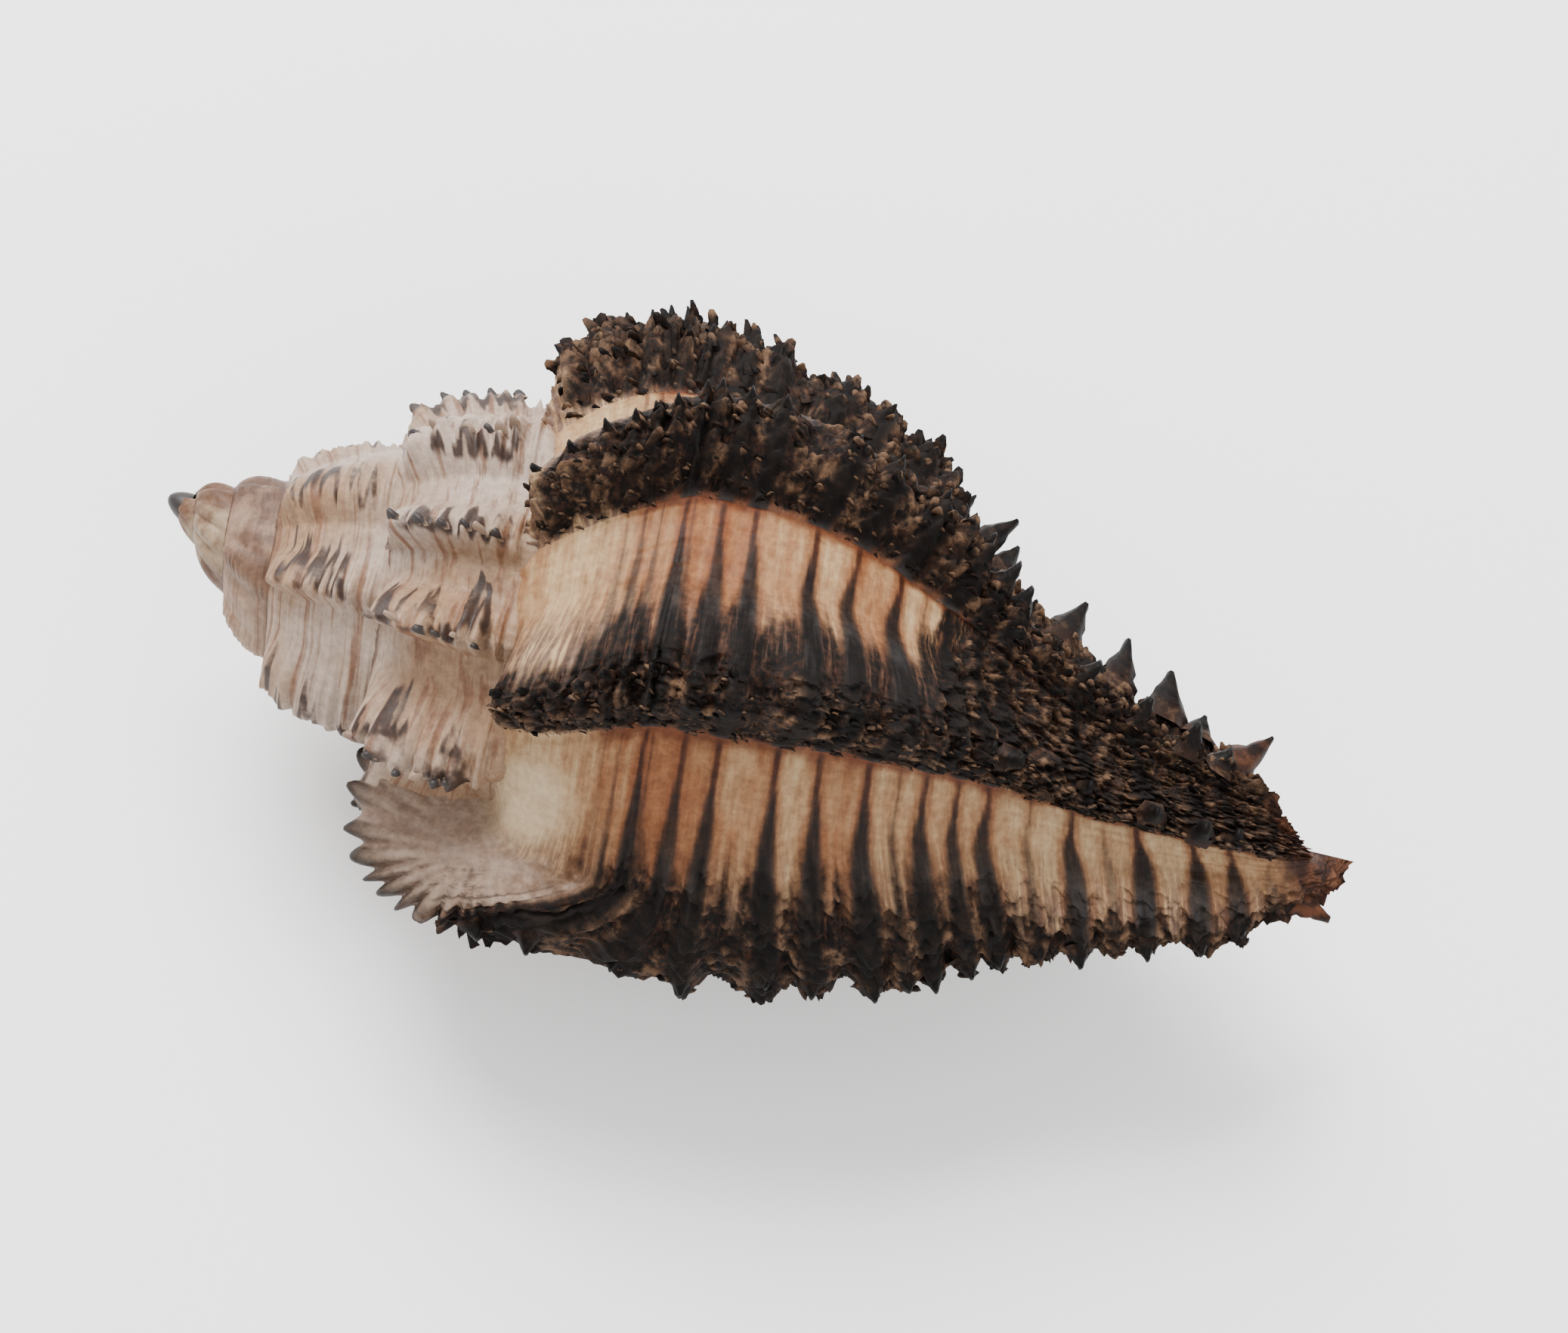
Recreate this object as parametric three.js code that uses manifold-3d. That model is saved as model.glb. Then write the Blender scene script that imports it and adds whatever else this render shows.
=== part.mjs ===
// Murex shell, one grown piece: a dextral coil of whorls carrying six frilled varices a turn, a siphonal canal
// and an open aperture. Millimetres. It is drawn with its coiling axis along X, then laid on its aperture side on
// the floor z = 0 and centred.
import * as THREE from "three";
import Module from "manifold-3d";

const wasm = await Module();
wasm.setup();

// ---- driving dimensions ----
const LENGTH = 95.0; // apex to the end of the siphonal canal
const TURNS = [0, 1, 2, 3, 4, 5, 6, 7, 8]; // whorl count at which the next two rows are given
const SUTURE_X = [0, 0.8, 2.5, 5.6, 9.8, 18.9, 29.3, 41, 52.7]; // distance of the suture from the apex
const SUTURE_R = [0, 0.7, 1.9, 3.9, 6.7, 11.2, 15.8, 19.6, 20.6]; // radius of the suture
const LAST = 6.2444; // whorls in the finished shell
const FEET = [0, 0.17, 0.342, 0.5111, 0.6528, 0.8, 1]; // where a varix ends in front, in turns after the outer lip's line
const CANAL_X = 91.5; // where the canal ends at six whorls
const CANAL_GROWTH = 14.3; // how much further it reaches with each further whorl
const BASE_AT = [0, 0.12, 0.25, 0.4, 0.52, 0.63, 0.75, 0.88, 0.96, 1.0]; // shares of the way from the suture to the canal end
const BASE_R = [1, 0.985, 0.885, 0.7, 0.53, 0.41, 0.31, 0.235, 0.18, 0.11]; // and the radius there, as a share of the suture radius
const BULGE = 0.13; // how far a whorl swells between its sutures, as a share of its height
const CREST = 0.76; // where a varix is highest, as a share of the way from one front foot to the next
const CREST_AT = [0, 0.08, 0.16, 0.25, 0.35, 0.63, 0.875, 1.05, 1.2, 1.35, 1.45, 1.6, 1.8, 1.92, 2.0]; // along a varix: 0 suture, 1 the next suture, 2 canal end
const CREST_H = [0.3, 1.8, 4.4, 5.2, 5.7, 6.3, 6.7, 6.9, 6.5, 6.3, 5.0, 4.6, 3.9, 2.7, 1.0]; // height of a body whorl's varix there
const SPIRE_AT = [0, 0.08, 0.17, 0.3, 0.6, 0.9, 1.0];
const SPIRE_H = [0.2, 1.6, 3.2, 3.6, 3.0, 2.2, 1.8]; // height of a spire whorl's varix
const GROWN_AT = [0, 2.6, 3.2, 3.7, 4.3, 4.7, 5.0, 5.2, 6.3]; // whorl count at which a spire varix has
const GROWN = [0, 0.05, 0.2, 0.3, 0.5, 0.6, 0.75, 1.15, 1.15]; // this share of that height
const LIP_EXTRA = 0.25; // how much higher the outer lip stands along the canal
const FOOT_EXTRA = [[0.5, 0.25, 0.5], [1.24, 0.1, 3.4]]; // where, how widely and how much higher the varices stand that the shell lies on
const RIM_AT = [0, 0.15, 0.3, 0.45, 0.6, 0.75, 0.9, 1.0, 1.05, 1.1];
const RIM_X = [20.4, 20.4, 21.2, 22.8, 25.2, 27.8, 30.5, 33.5, 37.0, 41.0]; // the fan at the hind end of the outer lip
const RIM_R = [13.2, 17.0, 20.4, 22.9, 24.6, 25.5, 25.6, 25.4, 25.4, 25.8];
const BEND_AT = [0, 2.6, 5.7, 9.4, 12.9, 20.5, 29.3, 41, 52.7, 64.4, 70.3, 76.1, 84.9, 97]; // along the axis
const BEND = [0, -0.6, -1.4, -2.3, -2.0, -1.2, -0.7, 0, 0, -0.7, -1.5, -2.2, -2.5, -2.1]; // sideways wander of the axis
const SWEEP_AT = [5.2444, 5.4144, 5.5864, 5.7555, 5.8972, 6.0444, 6.2444]; // the varices lean: at its suture end
const SWEEP = [0, 0, 0.02, 0.09, 0.065, 0.047, 0]; // each is this many turns ahead of its canal end
const CORD = 3.45; // spacing of the spiral cords along the base
const SCALLOP = 0.22; // how deep the crests are notched between cords, as a share of their height
const CORE_R = 1.1; // columella
const MOUTH_X = [29.5, 34, 40, 47, 54, 60, 64.5]; // aperture, back to front
const MOUTH_IN = [9.5, 6.8, 5.4, 4.9, 4.6, 4.4, 4.3]; // its columellar edge, distance from the axis
const MOUTH_OUT = [11.0, 15.6, 17.9, 18.0, 15.6, 11.4, 6.2]; // its outer edge
const MOUTH_TURN = 0.62; // how far round the cavity goes before it closes, in turns
const SLIT_W = 1.3; // siphonal canal, open width
const SLIT_DEEP = 1.7;

// ---- a smooth curve through given points that never overshoots them ----
function curve(xs, ys) {
  const n = xs.length, h = [], d = [], m = new Array(n).fill(0);
  for (let i = 0; i < n - 1; i++) {
    h.push(xs[i + 1] - xs[i]);
    d.push((ys[i + 1] - ys[i]) / h[i]);
  }
  for (let i = 1; i < n - 1; i++)
    if (d[i - 1] * d[i] > 0) {
      const a = 2 * h[i] + h[i - 1], b = h[i] + 2 * h[i - 1];
      m[i] = (a + b) / (a / d[i - 1] + b / d[i]);
    }
  m[0] = d[0];
  m[n - 1] = d[n - 2];
  return (x) => {
    x = Math.min(Math.max(x, xs[0]), xs[n - 1]);
    let i = 0;
    while (i < n - 2 && x > xs[i + 1]) i++;
    const t = (x - xs[i]) / h[i], t2 = t * t, t3 = t2 * t;
    return (2 * t3 - 3 * t2 + 1) * ys[i] + (t3 - 2 * t2 + t) * h[i] * m[i] +
      (3 * t2 - 2 * t3) * ys[i + 1] + (t3 - t2) * h[i] * m[i + 1];
  };
}
const clamp = (x, a = 0, b = 1) => Math.min(Math.max(x, a), b);
const ease = (x) => { const t = clamp(x); return t * t * (3 - 2 * t); };
const sutureX = curve(TURNS, SUTURE_X), sutureR = curve(TURNS, SUTURE_R);
const baseR = curve(BASE_AT, BASE_R), crestH = curve(CREST_AT, CREST_H);
const grown = curve(GROWN_AT, GROWN), bend = curve(BEND_AT, BEND);
const spireH = curve(SPIRE_AT, SPIRE_H), rimX = curve(RIM_AT, RIM_X), rimR = curve(RIM_AT, RIM_R);
const lean = curve(SWEEP_AT, SWEEP), swept = (w, a) => w + lean(w) * clamp(1 - a / 1.25) ** 1.15;
const canalX = (w) => Math.max(CANAL_X + CANAL_GROWTH * (w - 6), sutureX(w + 1) + 4);

// ---- one whorl's outline: a = 0 at its suture, 1 at the next suture, 2 at the end of the canal ----
function outline(w, a) {
  const x0 = sutureX(w), x1 = sutureX(w + 1), r0 = sutureR(w), r1 = sutureR(w + 1);
  if (a <= 1) {
    const s = Math.max(a, 0), swell = BULGE * (x1 - x0) * Math.sin(Math.PI * s ** 0.75);
    return [x0 + (x1 - x0) * s, r0 + (r1 - r0) * s + swell];
  }
  const f = a - 1;
  return [x1 + (canalX(w) - x1) * f, r1 * baseR(f)];
}
function phase(w) {
  // 0 just in front of a varix, 1 just in front of the next
  const t = (((w - LAST) % 1) + 1) % 1;
  let k = 0;
  while (k < FEET.length - 2 && t >= FEET[k + 1]) k++;
  return (t - FEET[k]) / (FEET[k + 1] - FEET[k]);
}
function varix(w, a) {
  const p = w >= LAST ? 1 : phase(w);
  const rise = ease((p - 0.28) / (CREST - 0.28));
  const fall = 0.5 + 0.5 * Math.cos(Math.PI * clamp((p - CREST) / (1 - CREST)) ** 1.35);
  const body = crestH(a) * (1 + (w > LAST - 0.2 ? LIP_EXTRA * ease((a - 1.25) / 0.15) : 0));
  const ripe = ease((w - 5.0) / 0.6);
  let h = spireH(a) * grown(w) * (1 - ripe) + body * ripe;
  if (w > LAST - 0.87 && w < LAST - 0.6) for (const [at, wide, more] of FOOT_EXTRA) h += more * Math.exp(-(((a - at) / wide) ** 2));
  const s = a <= 1 ? a * (sutureX(w + 1) - sutureX(w)) : (sutureX(w + 1) - sutureX(w)) + (a - 1) * (canalX(w) - sutureX(w + 1));
  const notch = 1 - SCALLOP * ease((p - 0.5) / 0.2) * (0.5 + 0.5 * Math.cos((2 * Math.PI * s) / CORD)) * ease(w - 4.2);
  if (w < LAST - 1) h *= 1 - ease((a - 0.9) / 0.16); // the next whorl grows over it here
  return [h * rise * fall * notch, ease((p - 0.5) / (CREST - 0.5)) * fall];
}
// A point of the skin, turned about the bent axis; angle 0 faces +Z, and growth turns towards -Y.
function skin(w, a) {
  const e = 1e-3, turn = swept(w, a), [x, r] = outline(turn, a), [xa, ra] = outline(turn, a - e), [xb, rb] = outline(turn, a + e);
  const long = Math.hypot(xb - xa, rb - ra) || 1;
  const nx = -(rb - ra) / long, nr = (xb - xa) / long, [h, share] = varix(w, a);
  let px = x + h * nx, pr = r + h * nr;
  if (w > LAST - 0.2 && a < 1.1) {
    const g = share * (1 - ease((a - 0.95) / 0.15));
    px += (rimX(a) - px) * g;
    pr += (rimR(a) - pr) * g;
  }
  return place(turn, px, pr);
}
function place(w, x, r) {
  const t = -2 * Math.PI * (w - 6);
  return [x, bend(x) + r * Math.sin(t), r * Math.cos(t)];
}

// ---- a closed solid from rings of points: the rings are joined and both ends are capped by a fan ----
function loft(rings, cap = "fan") {
  const n = rings[0].length, verts = [], tris = [];
  for (const ring of rings) for (const p of ring) verts.push(...p);
  const at = (i, j) => i * n + (j % n);
  for (let i = 0; i + 1 < rings.length; i++)
    for (let j = 0; j < n; j++) {
      tris.push([at(i, j), at(i + 1, j), at(i + 1, j + 1)], [at(i, j), at(i + 1, j + 1), at(i, j + 1)]);
    }
  const m = rings.length - 1;
  if (cap === "strip") {
    // rings run out along the skin and back along the axis, so opposite points pair up
    for (let j = 0; j < n / 2 - 1; j++) {
      const k = n - 1 - j;
      tris.push([at(0, j), at(0, j + 1), at(0, k - 1)], [at(0, j), at(0, k - 1), at(0, k)]);
      tris.push([at(m, j), at(m, k - 1), at(m, j + 1)], [at(m, j), at(m, k), at(m, k - 1)]);
    }
  } else {
    for (let j = 1; j + 1 < n; j++) {
      tris.push([at(0, 0), at(0, j), at(0, j + 1)]);
      tris.push([at(m, 0), at(m, j + 1), at(m, j)]);
    }
  }
  let solid = new wasm.Manifold(new wasm.Mesh({
    numProp: 3,
    vertProperties: new Float32Array(verts),
    triVerts: new Uint32Array(tris.flat()),
  }));
  if (solid.volume() < 0)
    solid = new wasm.Manifold(new wasm.Mesh({
      numProp: 3,
      vertProperties: new Float32Array(verts),
      triVerts: new Uint32Array(tris.map(([a, b, c]) => [a, c, b]).flat()),
    }));
  return solid;
}

// ---- the whorls ----
function ring(w, as) {
  const out = as.map((a) => skin(w, a));
  const [x0] = outline(w, 0), x1 = canalX(w);
  const k = as.length, back = [];
  for (let j = k - 1; j >= 0; j--) {
    // the inner wall, close to the axis, at the same distance along the shell as the skin opposite
    const turn = swept(w, as[j]), [x] = outline(turn, as[j]);
    back.push(place(turn, clamp(x, x0, x1 - 0.05), 0.35));
  }
  return out.concat(back);
}
const FULL = [], HALF = [];
for (let i = 0; i <= 12; i++) FULL.push(i / 12);
for (let i = 1; i <= 28; i++) FULL.push(1 + i / 28);
for (let i = 0; i <= 8; i++) HALF.push(i / 8);
for (const a of [1.1, 1.25, 1.5, 1.75, 2]) HALF.push(a);
const pieces = [];
const varixRows = (w) => (w > LAST - 1 - 1e-9 ? [0.3, 0.45, 0.58, 0.68, 0.76, 0.86, 0.94] : [0.4, 0.6, 0.76, 0.9]);
// the coil is built a varix at a time, from the apex to the outer lip
const footAt = (k) => LAST - 1 + Math.floor(k / 6) + FEET[((k % 6) + 6) % 6];
for (let k = -26; k < 6; k++) {
  const w0 = footAt(k), w1 = footAt(k + 1), full = k >= -1, rows = [w0];
  for (const p of w0 > 2.2 ? varixRows(w0) : [0.5]) rows.push(w0 + p * (w1 - w0));
  rows.push(w1);
  if (k === -2) rows.push(w1 + 0.006); // into the finer rings of the body whorl
  pieces.push(loft(rows.map((w) => ring(w, full ? FULL : HALF)), "strip"));
}
const tube = (xs, radius, off = () => [0, 0]) =>
  loft(xs.map((x) => {
    const pts = [], [oy, oz] = off(x);
    for (let j = 0; j < 12; j++) {
      const t = (2 * Math.PI * j) / 12;
      pts.push([x, bend(x) + oy + radius(x) * Math.sin(t), oz + radius(x) * Math.cos(t)]);
    }
    return pts;
  }));
const steps = (a, b, n) => Array.from({ length: n + 1 }, (_, i) => a + ((b - a) * i) / n);
pieces.push(tube(steps(0, 9, 6), (x) => 0.35 + 0.6 * Math.sqrt(x))); // apex
pieces.push(tube(steps(4, LENGTH - 1.2, 24), (x) => (x > 50 ? CORE_R + 1.2 * ease((90 - x) / 30) : CORE_R))); // columella
let shell = wasm.Manifold.union(pieces);

// ---- the aperture: a cavity swept back round the coil from the outer lip, and the slit of the canal ----
const mouthIn = curve(MOUTH_X, MOUTH_IN), mouthOut = curve(MOUTH_X, MOUTH_OUT);
function mouthRing(turn) {
  const share = 1 - turn / MOUTH_TURN, k = turn <= 0 ? 1 : Math.max(Math.sqrt(Math.max(share, 0)), 0.12);
  const w = LAST - turn, mid = [46.5 - 16 * turn, 11.4 - 3.0 * turn], pts = [];
  const xs = steps(MOUTH_X[0], MOUTH_X[6], 10);
  const push = (x, r) => {
    const dx = (x - 46.5) * k, dr = (r - 11.2) * k;
    pts.push(place(w, mid[0] + dx, Math.max(mid[1] + dr, 2.6)));
  };
  xs.forEach((x) => push(x, mouthOut(x)));
  xs.reverse().forEach((x) => push(x, mouthIn(x)));
  return pts;
}
const cavity = loft([-0.1, -0.03, 0.0, 0.04, 0.08, 0.13, 0.19, 0.26, 0.34, 0.42, 0.5, 0.58].map(mouthRing), "strip");
shell = shell.subtract(cavity);
const slitX = steps(61, LENGTH - 0.4, 14);
const slit = loft(slitX.map((x) => {
  const w = LAST + 0.01, t = -2 * Math.PI * (w - 6), out = [];
  const far = outline(LAST - 1e-6, 1 + (x - sutureX(LAST + 1)) / (canalX(LAST) - sutureX(LAST + 1)))[1];
  const r = Math.max(far * 0.5, 1.6), ny = -Math.cos(t), nz = Math.sin(t); // across the slit is radial; out of it is the way the lip grows
  for (const [dr, dn] of [[-SLIT_W / 2, -SLIT_DEEP], [SLIT_W / 2, -SLIT_DEEP], [SLIT_W / 2, 9], [-SLIT_W / 2, 9]])
    out.push([x, bend(x) + (r + dr) * Math.sin(t) + dn * ny, (r + dr) * Math.cos(t) + dn * nz]);
  return out;
}));
shell = shell.subtract(slit);
const bodies = shell.decompose().sort((a, b) => b.volume() - a.volume());
shell = bodies[0];

// ---- lay it down: the face of its convex hull that it rests on, aperture side down ----
const matrix = new THREE.Matrix4();
{
  const mesh = shell.getMesh(), com = new THREE.Vector3(), at = (m, i) =>
    new THREE.Vector3(m.vertProperties[m.numProp * i], m.vertProperties[m.numProp * i + 1], m.vertProperties[m.numProp * i + 2]);
  let volume = 0;
  for (let i = 0; i < mesh.triVerts.length; i += 3) {
    const [a, b, c] = [0, 1, 2].map((j) => at(mesh, mesh.triVerts[i + j]));
    const v = a.dot(b.clone().cross(c)) / 6;
    volume += v;
    com.add(a.add(b).add(c).multiplyScalar(v / 4));
  }
  com.divideScalar(volume);
  const faces = new THREE.Vector3(0, 0, -1); // the side the aperture is on
  const hull = shell.hull().getMesh();
  let best = null;
  for (let i = 0; i < hull.triVerts.length; i += 3) {
    const [a, b, c] = [0, 1, 2].map((j) => at(hull, hull.triVerts[i + j]));
    const n = b.clone().sub(a).cross(c.clone().sub(a)).normalize(), p = com.clone().addScaledVector(n, a.clone().sub(com).dot(n));
    const side = [[a, b], [b, c], [c, a]].map(([u, v]) => v.clone().sub(u).normalize().cross(p.clone().sub(u)).dot(n));
    const room = Math.min(...side); // distance of the centre of mass inside the nearest edge
    if (room > 0.3 && (!best || n.dot(faces) > best.score)) best = { score: n.dot(faces), n, room };
  }
  const up = best.n.clone().negate(), along = new THREE.Vector3(1, 0, 0).addScaledVector(up, -up.x).normalize();
  const across = up.clone().cross(along);
  matrix.set(along.x, along.y, along.z, 0, across.x, across.y, across.z, 0, up.x, up.y, up.z, 0, 0, 0, 0, 1);
}
const laid = shell.transform(matrix.elements);
const box = laid.boundingBox();
const shift = [-(box.min[0] + box.max[0]) / 2, -(box.min[1] + box.max[1]) / 2, -box.min[2]];
const out = laid.translate(shift);
console.log("rows of the turn", matrix.elements.map((q) => q.toFixed(6)).join(" "), "shift", shift.map((q) => q.toFixed(4)).join(" "));
console.log("size", box.max.map((q, i) => (q - box.min[i]).toFixed(2)).join(" x "), "bodies", bodies.length, "triangles", out.numTri(), "volume", out.volume().toFixed(0));

const m = out.getMesh(), position = new Float32Array(m.numVert * 3);
for (let i = 0; i < m.numVert; i++) position.set(m.vertProperties.subarray(i * m.numProp, i * m.numProp + 3), i * 3);
const geometry = new THREE.BufferGeometry();
geometry.setAttribute("position", new THREE.BufferAttribute(position, 3));
geometry.setIndex(new THREE.BufferAttribute(new Uint32Array(m.triVerts), 1));
geometry.computeVertexNormals();
const body = new THREE.Mesh(geometry, new THREE.MeshStandardMaterial({ color: 0xb8a88c, roughness: 0.6, metalness: 0 }));
body.name = "shell";

const group = new THREE.Group();
group.add(body);
export default group;
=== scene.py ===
# %% [markdown]
# # A murex shell
# A murex is a sea snail whose shell grows as one coiled tube. Every so often the snail stops, thickens the lip of
# the tube and hangs frills on it; then it grows on, and the old lip stays behind as a ridge called a varix. This
# lesson builds the shell the same way: one formula for the tube, one for the ridges, and then the relief, the
# frills, the mouth and the colours, each driven by where on the growing tube it sits.

import math

import bpy
import numpy as np
from mathutils import Matrix, Vector


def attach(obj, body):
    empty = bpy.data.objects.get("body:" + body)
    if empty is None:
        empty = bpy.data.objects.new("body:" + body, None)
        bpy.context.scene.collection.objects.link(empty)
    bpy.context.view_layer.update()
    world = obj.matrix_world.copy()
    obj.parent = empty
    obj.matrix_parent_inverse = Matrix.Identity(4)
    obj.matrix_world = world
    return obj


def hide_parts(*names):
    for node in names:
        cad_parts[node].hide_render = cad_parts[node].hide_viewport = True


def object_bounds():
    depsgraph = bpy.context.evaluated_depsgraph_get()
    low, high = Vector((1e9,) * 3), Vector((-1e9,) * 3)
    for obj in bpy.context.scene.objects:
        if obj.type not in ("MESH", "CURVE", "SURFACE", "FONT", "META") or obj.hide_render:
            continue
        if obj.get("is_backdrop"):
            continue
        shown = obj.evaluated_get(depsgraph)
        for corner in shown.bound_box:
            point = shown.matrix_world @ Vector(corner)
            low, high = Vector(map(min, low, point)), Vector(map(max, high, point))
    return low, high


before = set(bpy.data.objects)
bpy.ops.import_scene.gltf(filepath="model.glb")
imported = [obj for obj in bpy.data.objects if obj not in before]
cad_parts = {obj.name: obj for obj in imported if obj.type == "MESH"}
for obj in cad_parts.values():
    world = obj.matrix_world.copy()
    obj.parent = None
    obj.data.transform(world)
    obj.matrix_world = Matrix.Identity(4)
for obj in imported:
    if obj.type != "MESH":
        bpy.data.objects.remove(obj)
CAD_BOX = [list(map(float, corner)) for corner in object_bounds()]

# %% [markdown]
# The same driving dimensions as the solid, in millimetres. The shell is first drawn with its coiling axis along X
# and the back of the last whorl facing +Z, and a single turn at the end lays it on its mouth side.

# %% Driving dimensions
TURNS = [0, 1, 2, 3, 4, 5, 6, 7, 8]
SUTURE_X = [0, 0.8, 2.5, 5.6, 9.8, 18.9, 29.3, 41, 52.7]
SUTURE_R = [0, 0.7, 1.9, 3.9, 6.7, 11.2, 15.8, 19.6, 20.6]
LAST, CREST = 6.2444, 0.76
FEET = [0, 0.17, 0.342, 0.5111, 0.6528, 0.8]  # front feet of the ridges of the last whorl, in turns after its start
CANAL_X, CANAL_GROWTH = 91.5, 14.3
BASE_AT = [0, 0.12, 0.25, 0.4, 0.52, 0.63, 0.75, 0.88, 0.96, 1.0]
BASE_R = [1, 0.985, 0.885, 0.7, 0.53, 0.41, 0.31, 0.235, 0.18, 0.11]
BULGE = 0.13
CREST_AT = [0, 0.08, 0.16, 0.25, 0.35, 0.63, 0.875, 1.05, 1.2, 1.35, 1.45, 1.6, 1.8, 1.92, 2.0]
CREST_H = [0.3, 1.8, 4.4, 5.2, 5.7, 6.3, 6.7, 6.9, 6.5, 6.3, 5.0, 4.6, 3.9, 2.7, 1.0]
SPIRE_AT = [0, 0.08, 0.17, 0.3, 0.6, 0.9, 1.0]
SPIRE_H = [0.2, 1.6, 3.2, 3.6, 3.0, 2.2, 1.8]
GROWN_AT = [0, 2.6, 3.2, 3.7, 4.3, 4.7, 5.0, 5.2, 6.3]
GROWN = [0, 0.05, 0.2, 0.3, 0.5, 0.6, 0.75, 1.15, 1.15]
LIP_FROM, LIP_EXTRA = LAST - 0.2, 0.25  # the last ridge becomes the lip, and is so much taller there
FOOT_EXTRA = [[0.5, 0.25, 0.5], [1.24, 0.1, 3.4]]
RIM_AT = [0, 0.15, 0.3, 0.45, 0.6, 0.75, 0.9, 1.0, 1.05, 1.1]
RIM_X = [20.4, 20.4, 21.2, 22.8, 25.2, 27.8, 30.5, 33.5, 37.0, 41.0]
RIM_R = [13.2, 17.0, 20.4, 22.9, 24.6, 25.5, 25.6, 25.4, 25.4, 25.8]
BEND_AT = [0, 2.6, 5.7, 9.4, 12.9, 20.5, 29.3, 41, 52.7, 64.4, 70.3, 76.1, 84.9, 97]
BEND = [0, -0.6, -1.4, -2.3, -2.0, -1.2, -0.7, 0, 0, -0.7, -1.5, -2.2, -2.5, -2.1]
UP = np.array([0.011691, 0.345121, 0.938485])  # which way is up in the drawn shell, once it lies down
SHIFT = np.array([-47.5006, 0.8194, 20.2162])
SWEEP_AT = [5.2444, 5.4144, 5.5864, 5.7555, 5.8972, 6.0444, 6.2444]
SWEEP = [0, 0, 0.02, 0.09, 0.065, 0.047, 0]
FLOOR_GAP = 2e-5  # metres: nothing sinks below the floor

# %% Placing points: from the drawn shell to the floor
along_axis = np.array([1.0, 0, 0]) - UP[0] * UP
along_axis /= np.linalg.norm(along_axis)
LAY = np.stack([along_axis, np.cross(UP, along_axis), UP])


def lay(points):
    """Drawn millimetres to scene metres: turn by the rows of LAY, then slide by SHIFT."""
    return (points @ LAY.T + SHIFT) / 1000.0


print("axis tilted by", round(math.degrees(math.asin(UP[0])), 1), "degrees")

# %% [markdown]
# A curve through given points must not overshoot them, or a whorl would swell where nobody asked. The monotone
# cubic below keeps to its points, and it works on whole arrays at once.

# %% A smooth curve that never overshoots


def curve(x, xs, ys):
    """Monotone cubic through (xs, ys): slopes are weighted harmonic means of the neighbouring chords."""
    x, xs, ys = np.asarray(x, float), np.asarray(xs, float), np.asarray(ys, float)
    h = np.diff(xs)
    d = np.diff(ys) / h
    m = np.zeros_like(ys)
    a, b = 2 * h[1:] + h[:-1], h[1:] + 2 * h[:-1]
    same = d[1:] * d[:-1] > 0
    m[1:-1][same] = (a + b)[same] / (a[same] / d[:-1][same] + b[same] / d[1:][same])
    m[0], m[-1] = d[0], d[-1]
    x = np.clip(x, xs[0], xs[-1])
    i = np.clip(np.searchsorted(xs, x, side="right") - 1, 0, len(xs) - 2)
    t = (x - xs[i]) / h[i]
    return (
        (2 * t**3 - 3 * t**2 + 1) * ys[i]
        + (t**3 - 2 * t**2 + t) * h[i] * m[i]
        + (3 * t**2 - 2 * t**3) * ys[i + 1]
        + (t**3 - t**2) * h[i] * m[i + 1]
    )


def ease(x):
    """0 below 0, 1 above 1, and a smooth S between: 3x^2 - 2x^3."""
    x = np.clip(x, 0, 1)
    return x * x * (3 - 2 * x)


def bump(x, at, width):
    """A bell of height 1 centred on at: exp(-((x - at) / width)^2)."""
    return np.exp(-(((x - at) / width) ** 2))


# %% [markdown]
# Nothing on a shell repeats exactly, so almost every formula below is disturbed by noise. Two kinds are enough:
# rolling hills for stains and wandering edges, and round cells for crumpled, scaly places.

# %% Hills and cells


def hills(seed, x, y, octaves=3):
    """Random values on a square lattice, blended by smooth S steps; each octave is twice as fine and half as high."""
    table = np.random.default_rng(seed).uniform(-1, 1, (128, 128))
    x, y = np.broadcast_arrays(np.asarray(x, float), np.asarray(y, float))
    total, size = np.zeros(x.shape), 1.0
    for _ in range(octaves):
        i, j = np.floor(x).astype(int), np.floor(y).astype(int)
        u, v = ease(x - i), ease(y - j)
        low = table[i % 128, j % 128] * (1 - u) + table[(i + 1) % 128, j % 128] * u
        high = table[i % 128, (j + 1) % 128] * (1 - u) + table[(i + 1) % 128, (j + 1) % 128] * u
        total = total + size * (low * (1 - v) + high * v)
        x, y, size = x * 2.03 + 17.3, y * 2.03 + 5.1, size * 0.5
    return total


def cells(seed, x, y):
    """One random point in each unit square; the distance to the nearest one, 0 on it and about 1 far away."""
    spots = np.random.default_rng(seed).uniform(0.1, 0.9, (64, 64, 2))
    i, j = np.floor(x).astype(int), np.floor(y).astype(int)
    near = np.full(np.shape(x), 9.0)
    for di in (-1, 0, 1):
        for dj in (-1, 0, 1):
            s = spots[(i + di) % 64, (j + dj) % 64]
            near = np.minimum(near, (i + di + s[..., 0] - x) ** 2 + (j + dj + s[..., 1] - y) ** 2)
    return np.sqrt(near)


# %% [markdown]
# Every point of the skin has two addresses. `w` counts whorls from the apex, and `a` runs down one growth line:
# 0 at the suture above, 1 at the suture below, and on to 2 at the end of the canal on the last whorl. The outline
# gives distance along the axis and radius, and the ridge formula adds height along the outline's normal.

# %% The tube's outline


def canal_x(w):
    """How far down the shell the canal reaches: a straight line in w, but always below the next suture."""
    return np.maximum(CANAL_X + CANAL_GROWTH * (w - 6), curve(w + 1, TURNS, SUTURE_X) + 4)


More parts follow.
